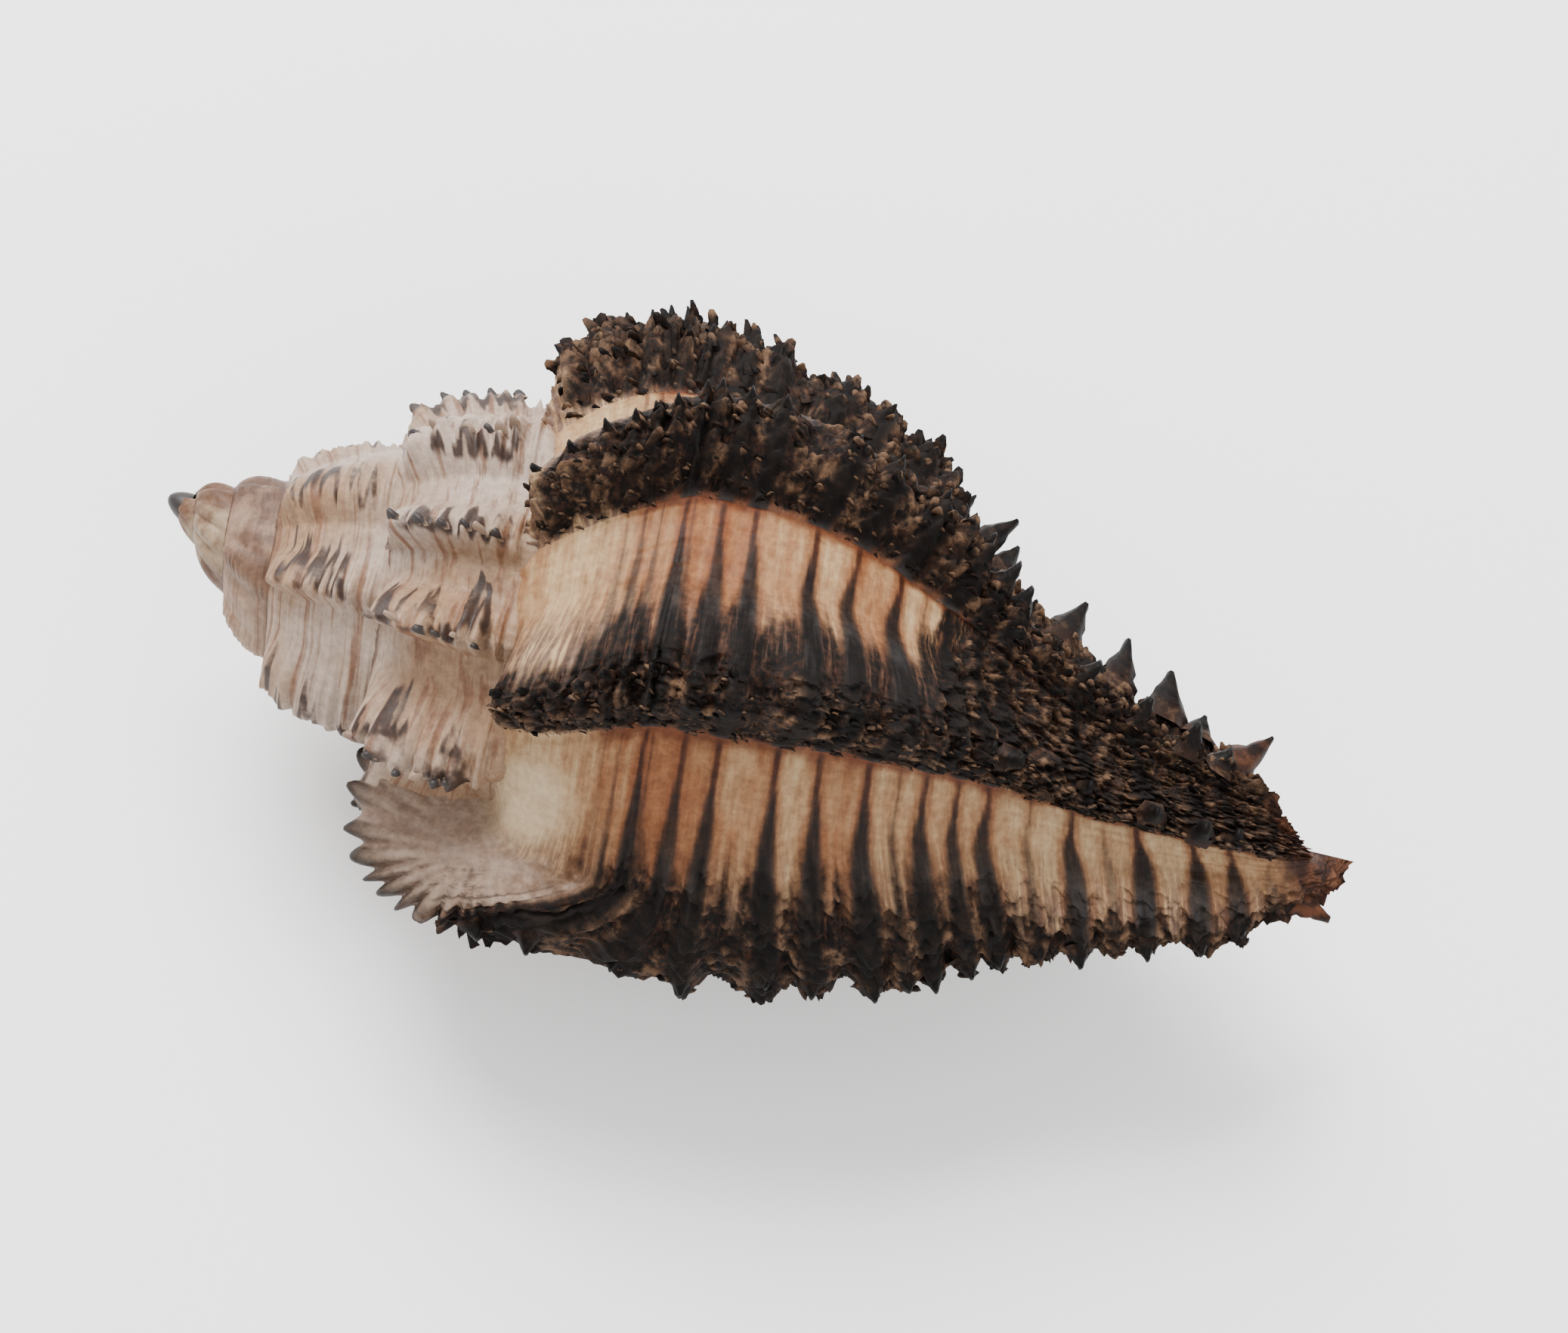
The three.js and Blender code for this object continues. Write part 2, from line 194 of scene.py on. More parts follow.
def outline(w, a):
    """Axis distance and radius: between sutures a straight wall with a sine swell, below them the base curve, and
    past a = 2 a cap that closes the end of the canal onto the axis."""
    x0, x1 = curve(w, TURNS, SUTURE_X), curve(w + 1, TURNS, SUTURE_X)
    r0, r1 = curve(w, TURNS, SUTURE_R), curve(w + 1, TURNS, SUTURE_R)
    s, f, end = np.clip(a, 0, 1), np.clip(a - 1, 0, 1), np.clip((a - 2) / 0.04, 0, 1)
    swell = BULGE * (0.35 + 0.65 * ease((w - 2.6) / 1.8)) * (x1 - x0) * np.sin(np.pi * s**0.75)
    x = np.where(a <= 1, x0 + (x1 - x0) * a, x1 + (canal_x(w) - x1) * f + 0.5 * np.sin(np.pi * end / 2))
    r = np.where(a <= 1, r0 + (r1 - r0) * a + swell, r1 * curve(f, BASE_AT, BASE_R) * np.cos(np.pi * end / 2))
    return x, np.maximum(r, 0.01)


def normal_of(w, a):
    """The outline's outward normal, from a small step each way."""
    (xa, ra), (xb, rb) = outline(w, a - 2e-3), outline(w, a + 2e-3)
    n = np.stack([-(rb - ra), xb - xa])
    return n / (np.hypot(*n) + 1e-12)


WALL_LONG, BASE_LONG = 14, 51  # millimetres down a growth line, suture to suture and on to the canal's end


def down_line(a):
    """Millimetres down a growth line: one straight scale to a = 1 and another beyond it."""
    return np.where(a < 1, WALL_LONG * a, WALL_LONG + BASE_LONG * (a - 1))


def spread(w, a):
    """Millimetres along growth and across it, for patterns that should keep their size over the whole shell."""
    middle = outline(w, np.clip(a, 0, 1.3))[1]
    return 2 * np.pi * (w - 6) * 20 * (0.35 + 0.65 * ease((middle - 2) / 18)), down_line(a)


# %% [markdown]
# A growth line doesn't run straight from the suture to the canal: on the last whorl its hind end is further round.
# So the address `w` names a whole growth line, and `turned` says how far round the coil a point of it really lies.

# %% Leaning growth lines


def turned(w, a):
    """Whorl count of the place itself: w plus the sweep of that line, fading to none at a = 1.25."""
    return w + curve(w, SWEEP_AT, SWEEP) * np.clip(1 - a / 1.25, 0, 1) ** 1.15


# %% [markdown]
# Spiral cords run round the shell, and each ends on every ridge in a point. On the real shell they are the dark
# lines, so one list of cords places the lines, the teeth of the ridges, and later the horns. For each cord it says
# where it runs (`a`), how dark it is, and how wide in millimetres.

# %% Cords and the feet of the ridges
CORD_AT = np.array([
    0.18, 0.34, 0.48, 0.60, 0.70, 0.80, 0.95, 1.0, 1.045, 1.095, 1.183, 1.247, 1.318, 1.363, 1.402, 1.45,
    1.495, 1.56, 1.627, 1.68, 1.732, 1.819, 1.878, 1.935,
])
CORD_DARK = np.array([
    0.0, 0.0, 0.1, 0.35, 0.6, 0.5, 0.95, 0.5, 0.9, 0.95, 1.0, 0.95, 1.0, 0.5, 0.95, 0.9, 0.95, 0.45, 0.95,
    0.4, 1.0, 0.95, 0.9, 0.3,
])
CORD_WIDE = np.array([
    0.5, 0.5, 0.4, 0.35, 0.42, 0.3, 0.6, 0.3, 0.55, 0.6, 0.6, 0.6, 0.68, 0.3, 0.6, 0.5, 0.62, 0.3, 0.62, 0.3,
    0.75, 0.7, 0.6, 0.4,
])
WHORL_FEET = [3.2444, 3.42, 3.59, 3.76, 3.944, 4.0444, 4.215, 4.41, 4.586, 4.755, 4.897, 4.972, 5.0444, 5.147]
RIDGE_FEET = np.concatenate([np.linspace(0.9, 3.08, 12), WHORL_FEET, LAST - 1 + np.array(FEET), [LAST]])
BODY = int(np.searchsorted(RIDGE_FEET, LAST - 1 - 1e-6))  # number of the last whorl's first ridge
FLANK = 1.38  # past here, on the side of the canal, ridges are lower and carry horns


def interval(w):
    """Which ridge a place belongs to, and where between two feet it is: 0 just past one ridge, 1 past the next."""
    k = np.clip(np.searchsorted(RIDGE_FEET, w, side="right") - 1, 0, len(RIDGE_FEET) - 2)
    p = (w - RIDGE_FEET[k]) / (RIDGE_FEET[k + 1] - RIDGE_FEET[k])
    return np.clip(p, 0, 1), k - BODY


def tooth(a, wide=0.55):
    """1 on a cord, falling to 0 halfway to its neighbours."""
    out = np.zeros(np.shape(a))
    for i, at in enumerate(CORD_AT):
        gap = min(at - CORD_AT[i - 1] if i else 0.14, CORD_AT[i + 1] - at if i + 1 < len(CORD_AT) else 0.06)
        out = np.maximum(out, bump(a, at, wide * max(gap, 0.035)))
    return out


print(len(RIDGE_FEET) - 1, "ridges,", len(CORD_AT), "cords; the last whorl starts with ridge", BODY)

# %% [markdown]
# A ridge is an old lip. Seen along growth it rises slowly and ends in a steep front, like a wave, and its height
# changes down the growth line. The last ridge is still the lip, and its hind end is drawn out into a flat fan with
# folds that spread from one place, the hub.

# %% The ridges


def stature(a, k):
    """Which share of the frilled height is solid ridge; the horns and leaves make up the rest."""
    flank = ease((a - FLANK) / 0.09)
    share = 0.80 - flank * np.select([k == 2, k == 3, k == 4], [0.42, 0.36, 0.2], 0.0)
    return np.where(k == 5, 0.86, np.where((k == 0) | (k == 1), 0.93, share))


def ridge(w, a):
    """Height of the ridge and its share 0..1: a long rise, then a steep front, toothed by the cords."""
    p, k = interval(w)
    rise = ease((p - 0.28) / (CREST - 0.28))
    fall = 0.5 + 0.5 * np.cos(np.pi * np.clip((p - CREST) / (1 - CREST), 0, 1) ** 1.35)
    body = curve(a, CREST_AT, CREST_H) * (1 + (w > LIP_FROM) * LIP_EXTRA * ease((a - 1.25) / 0.15))
    ripe = ease((w - 5.0) / 0.6)
    high = curve(a, SPIRE_AT, SPIRE_H) * curve(w, GROWN_AT, GROWN) * (1 - ripe) + body * ripe
    resting = ease((w - (LAST - 0.872)) / 0.01) * (w < LAST - 0.6)
    for at, wide, more in FOOT_EXTRA:
        high = high + resting * more * bump(a, at, wide)
    high = np.where(w < LAST - 1, high * (1 - ease((a - 0.9) / 0.16)), high * stature(a, k))
    notch = 1 - 0.22 * (1 - tooth(a)) * ease((p - 0.5) / 0.2) * ease(w - 4.0)
    uneven = 1 + 0.10 * hills(40, w * 9, a * 7, 2) * ease(w - 3.5)
    end = 1 - (w > LIP_FROM) * 0.7 * ease((a - 1.84) / 0.12)
    share = ease((p - 0.5) / (CREST - 0.5)) * fall
    return high * end * rise * fall * notch * uneven * (1 - ease((a - 1.98) / 0.04)), share


def place(w, x, r):
    """Turn the outline about the axis, which itself wanders sideways by BEND."""
    t = -2 * np.pi * (w - 6)
    return np.stack([x, curve(x, BEND_AT, BEND) + r * np.sin(t), r * np.cos(t)], -1)


HUB_X, HUB_Y, FOLDS = 31.0, -19.0, 15  # where the folds of the fan meet, and how many make half a circle


def from_hub(spot):
    """Direction and distance of points from the hub, seen along Z in the drawn shell."""
    x, y = spot[..., 0] - HUB_X, spot[..., 1] - HUB_Y
    return np.arctan2(y, x), np.hypot(y, x)


def fold(angle):
    """1 along the ridge of a fold, 0 in the valley between two; neighbours differ a little in width."""
    return np.abs(np.sin(FOLDS * (angle + 0.05 * np.sin(5 * angle) + 0.02 * np.sin(17 * angle))))


def skin(w, a, extra=0.0):
    """A point of the skin: outline plus ridge height along the normal. Past the last ridge's middle the hind part
    of the lip is drawn out into a fan, whose rim is the curve RIM_X, RIM_R with a point on every fold."""
    turn = turned(w, a)
    x, r = outline(turn, a)
    nx, nr = normal_of(turn, a)
    high, share = ridge(w, a)
    x, r = x + high * nx, r + high * nr
    fan = np.where(w > LIP_FROM, share * (1 - ease((a - 0.95) / 0.15)), 0)
    x = x + (curve(a, RIM_AT, RIM_X) - x) * fan
    r = r + (curve(a, RIM_AT, RIM_R) * 0.985 - r) * fan
    angle, far = from_hub(place(turn, x, r))
    point = fan**2 * (1.5 * fold(angle) ** 1.5 - 0.8)
    x, r = x + point * np.cos(angle), r - point * np.sin(angle)
    turn = turn - fan * ease((far - 2.5) / 5) * (fold(angle) - 0.5) * 0.32 / (2 * np.pi * 24)
    return place(turn, x + extra * nx * (1 - fan * 0.6), np.maximum(r + extra * nr, 0.01))


print("tallest ridge", round(float(ridge(np.array([LAST - 0.05]), np.array([1.2]))[0][0]), 2), "mm")

# %% [markdown]
# The mouth opens in the plane where the tube ends. Its inner edge is the polished pillar of the shell, so the
# beginning of the last whorl, right in front of the mouth, is dug out to meet it and swells back to its full size.

# %% The mouth's edges
MOUTH_X = [33.3, 36, 40, 47, 54, 60, 64.5]
MOUTH_OUT = [15.2, 16.8, 17.9, 18.0, 15.6, 11.4, 6.2]
MOUTH_IN = [13.6, 10.2, 7.2, 5.2, 4.6, 4.4, 4.3]
SLIT_FROM, SLIT_END = 65, 94.3  # between these the mouth is only a slit


def slit_r(x):
    """Where the slit of the canal runs: half the lip's radius there."""
    x1 = curve(LAST + 1, TURNS, SUTURE_X)
    share = curve((x - x1) / (canal_x(LAST) - x1), BASE_AT, BASE_R)
    return np.maximum(curve(LAST + 1, TURNS, SUTURE_R) * share * 0.5, 1.6)


def inner_edge(x):
    """Pillar side of the mouth and of the slit."""
    blend = ease((x - 60) / 5)
    return curve(x, MOUTH_X, MOUTH_IN) * (1 - blend) + (slit_r(x) - 0.5) * blend


def outer_edge(x):
    """Lip side of the mouth and of the slit."""
    blend = ease((x - 61) / 4)
    return curve(x, MOUTH_X, MOUTH_OUT) * (1 - blend) + (slit_r(x) + 0.5) * blend


# %% [markdown]
# Every shape here is a grid of points. Blender wants corners, faces and their values as flat lists, so two helpers
# do that once for all pieces: the first takes any points and quads, the second joins a grid's neighbours.

# %% Turning grids of points into meshes


def mesh_of(name, verts, quads, attributes=None, uv=None):
    """Put whole arrays into a mesh with foreach_set; attributes and uv hold one value per vertex."""
    mesh = bpy.data.meshes.new(name)
    laid = lay(verts)
    laid[:, 2] = np.maximum(laid[:, 2], FLOOR_GAP)
    mesh.vertices.add(len(verts))
    mesh.vertices.foreach_set("co", laid.astype(np.float32).ravel())
    mesh.loops.add(quads.size)
    mesh.loops.foreach_set("vertex_index", quads.astype(np.int32).ravel())
    mesh.polygons.add(len(quads))
    mesh.polygons.foreach_set("loop_start", np.arange(len(quads), dtype=np.int32) * 4)
    mesh.polygons.foreach_set("use_smooth", np.ones(len(quads), bool))
    mesh.update(calc_edges=True)
    for key, values in (attributes or {}).items():
        layer = mesh.attributes.new(key, "FLOAT", "POINT")
        layer.data.foreach_set("value", np.ascontiguousarray(values, np.float32).ravel())
    if uv is not None:
        layer = mesh.uv_layers.new(name="spiral")
        layer.data.foreach_set("uv", uv.reshape(-1, 2)[quads.ravel()].astype(np.float32).ravel())
    obj = bpy.data.objects.new(name, mesh)
    bpy.context.scene.collection.objects.link(obj)
    print(name, len(verts), "points", 2 * len(quads), "triangles")
    return obj


def sheet_of(name, grid, attributes=None, uv=None, closed=False):
    """One mesh from a grid (rows, columns, 3): each cell is a quad; closed joins the last column to the first."""
    rows, cols = grid.shape[:2]
    idx = np.arange(rows * cols).reshape(rows, cols)
    nxt, cur = (np.roll(idx, -1, 1), idx) if closed else (idx[:, 1:], idx[:, :-1])
    quads = np.stack([cur[:-1], cur[1:], nxt[1:], nxt[:-1]], -1).reshape(-1, 4)
    return mesh_of(name, grid.reshape(-1, 3), quads, attributes, uv)


# %% [markdown]
# The relief. Between two ridges the wall is nearly smooth, with low cords and fine growth lines. Over the crest and
# the steep front of each ridge the snail has left one crumpled layer on another, arched back on every cord. A
# sawtooth along growth makes the layers, cells break them into scales, and all of it is height along the normal.

# %% Relief


def crust(w, a):
    """Where the crumpled layers lie, 0 to 1, and their height: sawtooth layers + scales + knobs + ribs + hills."""
    p, k = interval(w)
    g, c = spread(w, a)
    fan = np.where((k == 5) & (a < 0.95), 1 - ease((a - 0.72) / 0.2), 0.0)
    slope = np.select([k == 2, k == 5], [0.0, -0.20], 0.05) + 0.08 * (1 - ease((a - 0.3) / 0.4))
    slope = slope - np.where(k == 4, 0.62 * ease((a - 1.34) / 0.12), 0)
    front = ease((p - 0.54 - slope + 0.03 * hills(56, g / 2, c / 1.2, 2)) / 0.16)
    front = front * np.maximum(ease((1 - p) / 0.05), (k == 3) * ease((a - FLANK) / 0.1)) * (1 - fan)
    rib = tooth(a, 0.5)
    layer = np.mod(g / 1.3 + 0.55 * rib + 1.3 * hills(52, g / 5, c / 2.2, 2), 1.0)
    flakes = 1 - np.clip(cells(53, g / 1.0 + 0.3 * hills(54, g, c, 1), c / 0.95), 0, 1)
    knobs = 1 - np.clip(cells(58, g / 2.1, c / 1.7) / 0.75, 0, 1)
    height = 0.42 * layer**1.5 + 0.55 * flakes**1.2 + 0.75 * knobs + 0.35 * rib
    return front, height + 0.36 * hills(55, g / 0.55, c / 0.55, 3) - 0.65


def relief(w, a):
    """Millimetres: raised cords + growth lines + the crust over the ridges + beads on the first whorls."""
    p, k = interval(w)
    g, c = spread(w, a)
    front, height = crust(w, a)
    size = ease((w - 2.2) / 2.6)
    cord = 0.20 * tooth(a, 0.38) * (0.35 + 0.65 * ease((p - 0.1) / 0.5)) * ease((a - 0.55) / 0.15)
    lines = 0.06 * hills(50, g / 0.55, c / 7, 2) + 0.02 * hills(51, g / 5, c / 0.5, 2)
    lines = lines + 0.10 * hills(57, g / 3, c / 3, 3)
    body = np.where(w > LAST - 1.0, 1.0, 0.0)
    nodes = 0.5 * (1 - body) * ease((p - 0.3) / 0.3) * ease((1 - p) / 0.2) * tooth(a) * ease((w - 3.3) / 0.8)
    beads = 0.40 * ease((w - 0.9) / 0.8) * ease((3.6 - w) / 0.7)
    beads = beads * np.abs(np.sin(np.pi * 12 * w)) ** 0.7 * np.sin(np.pi * np.clip(a, 0, 1))
    return size * (cord + lines + front * height * (0.42 + 0.58 * body)) + nodes + beads


# %% [markdown]
# Colour follows growth too. Just past a ridge the wall is cream to orange with thin rust-brown cords; towards the
# next ridge the cords widen, turn dark and then slate, and the ridge itself is nearly black. These masks are worked
# out where the formulas live, in numpy, and each rides to the materials as an attribute of the mesh.

# %% Masks for the colours
TAN_AT = [0.0, 0.3, 0.62, 0.74, 0.88, 0.97, 1.05, 1.12, 1.15, 1.21, 1.28, 1.34, 1.45, 1.6, 1.8, 1.9, 2.0]
TAN = [0.45, 0.12, 0.25, 0.65, 0.7, 1.0, 0.95, 0.55, 0.55, 0.25, 0.8, 0.25, 0.3, 0.12, 0.12, 0.35, 0.6]


def lines_at(w, a, p, more):
    """Dark cords: 1 within half a line width of a cord, which grows from thin at the foot to wide by the ridge."""
    g, c = spread(w, a)
    wander = 0.25 * hills(60, g / 6, c / 9, 2)
    out = np.zeros(a.shape)
    for at, dark, wide in zip(CORD_AT, CORD_DARK, CORD_WIDE):
        half = wide * (0.40 + 1.15 * ease((p - 0.08) / 0.45)) + more
        away = np.abs(c + wander - down_line(at))
        out = np.maximum(out, dark * (1 - ease((away - half * 0.45) / (half * 0.75))))
    return out


def masks(w, a):
    """Soft steps of p, a and place, disturbed by noise: cord lines and their rust edges, soot on the ridges, tan
    ground, the pale fan with its dark tips and swirl, the rusty foot of a ridge, and the marks of the spire."""
    p, k = interval(w)
    g, c = spread(w, a)
    streak, blotch = hills(61, g / 5, c / 0.45, 3), hills(62, g / 1.6, c / 1.3, 3)
    body = w > LAST - 1.0
    fan = ease((p - 0.46 + 0.03 * blotch) / 0.1) * (1 - ease((a + 0.06 * blotch - 0.70) / 0.12))
    fan = np.where((k == 5) & (a < 1.0), fan, 0.0)
    spot = skin(w, a)
    angle, far = from_hub(spot)
    ray = 0.6 + (fold(angle) - 0.6) * ease((far - 2.5) / 5)
    hollow = bump(spot[..., 0], 33.6, 4.2) * bump(spot[..., 1], -14.3, 4.0) * (spot[..., 2] > 0) * (k == 5)
    hind = 1 - ease((a - 0.30) / 0.45)
    start = 0.41 + 0.14 * hind - 0.07 * tooth(a, 0.4) * ease((a - 0.5) / 0.2)
    start = start + np.where(k == 5, 0.14 * ease((a - 1.45) / 0.2) - 0.03, 0)
    start = start - np.where(k == 4, 0.62 * ease((a - 1.32) / 0.12), 0)
    soot = ease((p + 0.03 * blotch + 0.07 * streak - start) / 0.26) * ease((a + 0.04 * blotch - 0.10) / 0.12)
    bare = np.maximum(ease((1.0 - p + 0.012 * blotch) / 0.05), (k == 3) * ease((a - FLANK) / 0.1))
    soot = soot * bare * (1 - fan)
    front, height = crust(w, a)
    tips = fan * bump(p, 0.78, 0.09) * ease((ray - 0.30) / 0.35)
    rust = ease((0.05 - np.minimum(p, 1 - p) + 0.012 * blotch) / 0.05) * ease((a - 0.55) / 0.2)
    swirl = np.where(k == 5, bump(a, 0.62, 0.16) * bump(p, 0.50, 0.07) * (0.4 + 0.6 * ease(blotch + 0.5)), 0.0)
    back = (1 - p) * np.diff(RIDGE_FEET)[k + BODY] * 2 * np.pi * outline(w, np.clip(a, 0, 1))[1]
    reach = 3.0 + 2.0 * tooth(a, 0.42) + 1.6 * hills(63, a * 7 + 3.1 * k, 0 * a, 1)
    flame = ease((reach - back + 1.5 * blotch + 0.7 * streak) / 1.9) * ease((back - 0.5) / 0.9)
    flame = flame * ease((a - 0.12 + 0.05 * blotch) / 0.1) * (1 - ease((a - 0.86) / 0.1))
    within = ease((reach - back + 1.1 * blotch + 0.7 * streak - 2.2) / 1.8)
    rim = flame * (1 - 0.7 * within * (1 - ease((w - 5.0) / 0.1)))
    patch = ease((hills(64, k * 7.7 + g / 3, a * 5, 2) + 0.95) / 0.4) * ease((w - 3.2) / 0.3) * ~body
    clear = (1 - fan) * body  # no lines on the fan, nor on the spire
    quiet = np.where(k == 5, ease((a - 0.62) / 0.25), 1)
    return {
        "phase": p, "along": a, "whorl": w, "fan": fan, "tips": tips, "ray": ray, "swirl": swirl, "hollow": hollow,
        "crust": np.where(body, front * (height + 0.4), 0), "soot": np.where(body, soot, 0), "rust": rust * body,
        "line": lines_at(w, a, p, 0.0) * ease((p + 0.02) / 0.05) * clear * quiet,
        "halo": lines_at(w, a, p, 0.5) * clear,
        "tan": np.clip(curve(a, TAN_AT, TAN) + 0.22 * streak + 0.12 * blotch, 0, 1),
        "flame": flame * patch, "rim": rim * patch,
    }


# %% [markdown]
# The wall could be one mesh, but with this much crumple it would be too heavy for one piece. So it is cut at the
# feet of the ridges, where the next layer hides the seam, into three pieces of two ridges each.

# %% The wall of the last whorl, two ridges to a piece


def columns():
    """Addresses down a growth line: even millimetres, then the cap that closes the canal."""
    wall_part, base_part = np.linspace(-0.01, 1, 84, endpoint=False), np.linspace(1, 2, 224, endpoint=False)
    return np.concatenate([wall_part, base_part, np.linspace(2, 2.04, 7)])


def rows(first, last, calm, busy):
    """Rows of each ridge from foot to foot, closer together from half way on, where the crumpled part is."""
    share = np.concatenate([np.linspace(0, 0.5, calm, endpoint=False), np.linspace(0.5, 1, busy, endpoint=False)])
    feet = RIDGE_FEET[BODY + first : BODY + last + 1]
    return np.append((feet[:-1, None] + share * np.diff(feet)[:, None]).ravel(), feet[-1])


def wall(w, a):
    """Points, attributes and uv of a grid of addresses, dug out to the pillar where the last whorl begins."""
    points, attributes = skin(w, a, relief(w, a)), masks(w, a)
    x, r = outline(w, a)
    inside = (w >= LAST - 1) * (1 - ease((w - (LAST - 1)) / 0.125)) * ease((x - 32.3) / 2.0) * (a < 2.001)
    dug = place(w, x, r + (np.minimum(inner_edge(x), r) - r) * inside)
    attributes["callus"] = inside
    return points + (dug - points) * inside[..., None], attributes, np.stack(spread(w, a), -1) / 10


walls = []
for number, (first, last) in enumerate(((0, 2), (2, 4), (4, 6))):
    W, A = np.meshgrid(rows(first, last, 44, 102), columns(), indexing="ij")
    W = np.clip(W, LAST - 1 + 1e-6, LAST - 1e-6)
    points, attributes, uv = wall(W, A)
    walls.append(sheet_of(f"last_whorl_{number + 1}", points, attributes, uv))
lip_row = points[-1, A[-1] <= 2].copy()

# %% [markdown]
# The spire is the same formula with lower, worn ridges. Each whorl is tucked under the next, so its rows stop just
# past the lower suture instead of running on to a canal.

# %% The spire
W, A = np.meshgrid(rows(-BODY, 0, 9, 21), np.linspace(-0.01, 1.08, 66), indexing="ij")
points, attributes, uv = wall(np.minimum(W, LAST - 1 - 1e-6), A)
spire = sheet_of("spire", points, attributes, uv)

# %% [markdown]
# The tip is the shell that the snail hatched with, before it grew any ridge: half an egg, closed at its pole.

# %% The first bulb of the shell
T, P = np.meshgrid(np.linspace(0, 1, 24), np.linspace(0, 2 * np.pi, 32, endpoint=False), indexing="ij")
bulb_r = np.sqrt(np.clip(1 - (1 - T) ** 2, 0, 1)) * 0.95 + 0.35 * T
bulb = np.stack([T * 2.0 - 0.05, curve(T * 2.0, BEND_AT, BEND) + bulb_r * np.sin(P), bulb_r * np.cos(P)], -1)
first_bulb = sheet_of("first_bulb", bulb, closed=True)

# %% [markdown]
# The mouth is a second surface inside the first. A ring drawn round the mouth is carried back along the coil,
# shrinking as it goes, and ends closed in the dark. A rounded band joins it to the outer lip.

# %% The chamber behind the mouth
Q = np.linspace(0, 1, 60)
xs = MOUTH_X[0] + (SLIT_END - MOUTH_X[0]) * Q**1.5
ring_x = np.concatenate([xs, xs[::-1]])
ring_r = np.concatenate([outer_edge(xs), inner_edge(xs[::-1])])
D = np.array([0.0, 0.004, 0.012, 0.025, 0.045, 0.07, 0.1, 0.14, 0.18, 0.23, 0.28, 0.34, 0.4, 0.46, 0.52, 0.56])
D, DEEPEST, SLIT_DEEP = D[:, None], 0.57, 0.03  # turns back from the mouth
MIDDLE_X, MIDDLE_R = 47.5, 11.2  # the ring shrinks towards this place
shrink, slit = np.sqrt(np.clip(1 - D / DEEPEST, 0.0, 1)), ring_x > SLIT_FROM
slim = np.where(slit, ease(1 - D / SLIT_DEEP), 1.0)
shallow = np.where(slit, np.minimum(D, SLIT_DEEP), D)  # the slit closes at once, only the mouth goes deep
X = np.where(slit, ring_x, MIDDLE_X + (ring_x - MIDDLE_X) * shrink - 16 * D)
R = np.maximum(MIDDLE_R - 3.0 * D + (ring_r - MIDDLE_R) * shrink, 2.6)
R = np.where(slit, ring_r * slim + (1 - slim) * slit_r(ring_x), R)
chamber = sheet_of("chamber", place(LAST - shallow, X, R), {"shade_depth": (D + 0 * ring_x) / DEEPEST}, closed=True)

# %% [markdown]
# The lip is what the last growth line leaves between itself and the mouth. For each place along the mouth's edge
# the nearest point of that line is found by its X, and a band bulging slightly forward joins the two.

# %% The lip: from the last growth line to the mouth's edge
lip_x = MOUTH_X[0] + (SLIT_END - MOUTH_X[0]) * np.linspace(0, 1, 236) ** 1.5
edge = place(np.full_like(lip_x, LAST), lip_x, outer_edge(lip_x))
match = np.interp(lip_x, np.maximum.accumulate(lip_row[:, 0]), np.arange(len(lip_row)))
near = np.clip(match.astype(int), 0, len(lip_row) - 2)
outer = lip_row[near] + (lip_row[near + 1] - lip_row[near]) * (match - near)[:, None]
across = np.linspace(0, 1, 9)[:, None, None]
forward = place(np.full_like(lip_x, LAST + 0.01), lip_x, outer_edge(lip_x)) - edge
forward /= np.linalg.norm(forward, axis=1)[:, None]
lip_grid = outer + (edge - outer) * across + forward * np.sin(np.pi * across) * 0.5
lip = sheet_of("lip", lip_grid, {"shade_depth": np.broadcast_to(-across[:, :, 0], lip_grid.shape[:2])})

# %% [markdown]
# A whorl ago the canal was shorter, so near its end nothing stands behind the slit. A flat strip from the slit down
# to the axis closes that place, and its last four points follow the rounded end of the canal.

# %% The pillar beside the slit
end_x, beside = float(canal_x(LAST)), np.linspace(SLIT_FROM - 3, SLIT_END, 60)
strip_x = np.concatenate([beside, [SLIT_END + 0.04, end_x, end_x + 0.3, end_x + 0.5]])
strip_r = np.concatenate([inner_edge(beside), [2.5, 2.3, 1.8, 0.01]])
strip_r = strip_r * np.linspace(1, 0, 7)[:, None]
pillar_grid = place(LAST, np.broadcast_to(strip_x, strip_r.shape), strip_r)
pillar = sheet_of("pillar", pillar_grid, {"shade_depth": np.zeros(strip_r.shape)})

# %% [markdown]
# The frills. Each is a small guttered leaf: a crescent that narrows to a blunt point, rooted below the skin and
# leaning backwards or towards the spire. They are too many to model one by one, so one function makes any number
# of them at once from their addresses, and a ring of six points a step keeps each to a few dozen faces.

# %% Leaves
RING = 6


